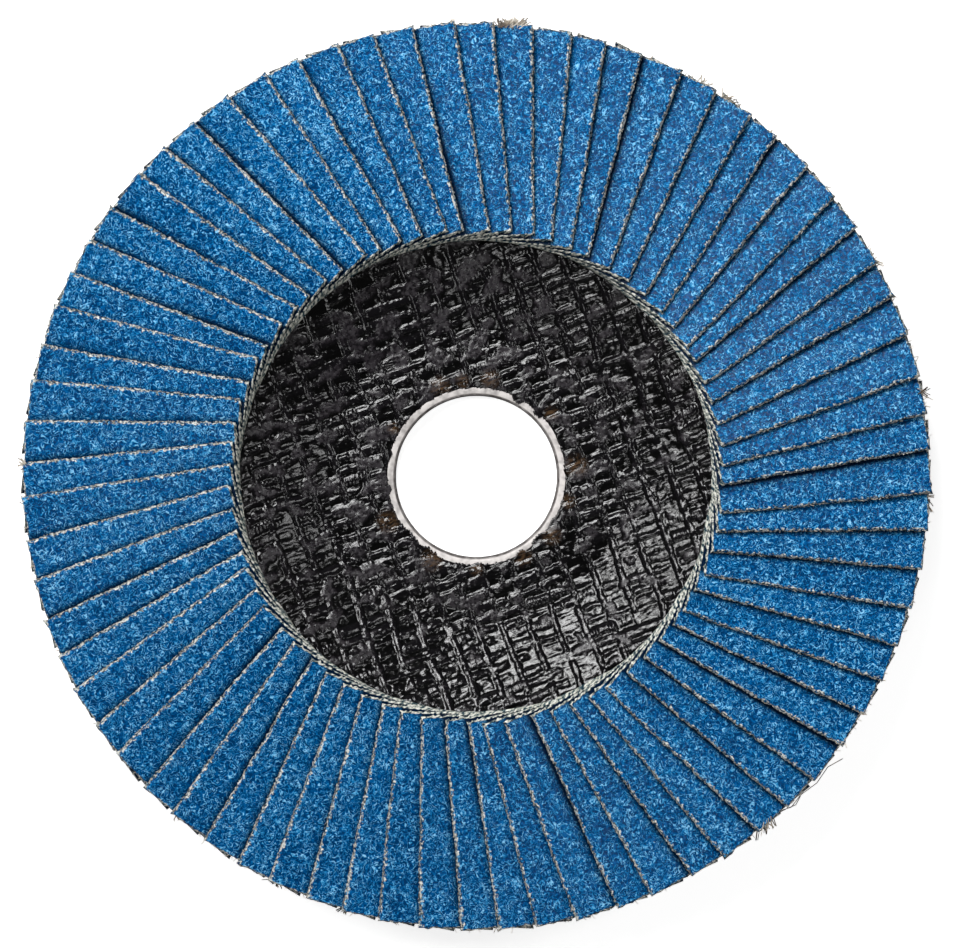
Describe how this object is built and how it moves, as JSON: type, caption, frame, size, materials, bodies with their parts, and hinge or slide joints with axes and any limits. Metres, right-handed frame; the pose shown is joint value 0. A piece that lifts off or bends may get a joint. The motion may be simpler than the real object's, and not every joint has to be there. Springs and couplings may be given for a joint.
{
  "type": "flap disc",
  "caption": "Abrasive disc for an angle grinder: overlapping flaps of coated cloth glued in a ring round a depressed-centre plate with a steel-lined bore.",
  "frame": {"origin": "on the bore's axis, at the plane of the hub's back face, on which the disc rests", "axes": "+Z along the bore's axis from the hub's back face towards the working side; +Y along the centreline of one flap; +X completes the right hand"},
  "size_m": [0.125, 0.125, 0.0141],
  "materials": {
    "abrasive_cloth": "blue grain bonded on cloth, with pale cut edges",
    "pressed_plate": "glossy black resin over glass net",
    "adhesive": "cured brown-black adhesive",
    "ring_steel": "satin sheet steel"
  },
  "bodies": {
    "root": {"backing_plate": "pressed_plate", "bore_ring": "ring_steel", "adhesive_bed": "adhesive", "flap_set_01": "abrasive_cloth", "flap_set_02": "abrasive_cloth", "flap_set_03": "abrasive_cloth", "flap_set_04": "abrasive_cloth", "flap_set_05": "abrasive_cloth", "flap_set_06": "abrasive_cloth", "flap_set_07": "abrasive_cloth", "flap_set_08": "abrasive_cloth", "flap_set_09": "abrasive_cloth", "flap_set_10": "abrasive_cloth", "flap_set_11": "abrasive_cloth", "flap_set_12": "abrasive_cloth", "flap_set_13": "abrasive_cloth", "flap_set_14": "abrasive_cloth", "flap_set_15": "abrasive_cloth", "flap_set_16": "abrasive_cloth", "flap_set_17": "abrasive_cloth", "flap_set_18": "abrasive_cloth", "flap_set_19": "abrasive_cloth", "flap_set_20": "abrasive_cloth", "flap_set_21": "abrasive_cloth", "flap_set_22": "abrasive_cloth", "flap_set_23": "abrasive_cloth", "flap_set_24": "abrasive_cloth"}
  },
  "joints": []
}
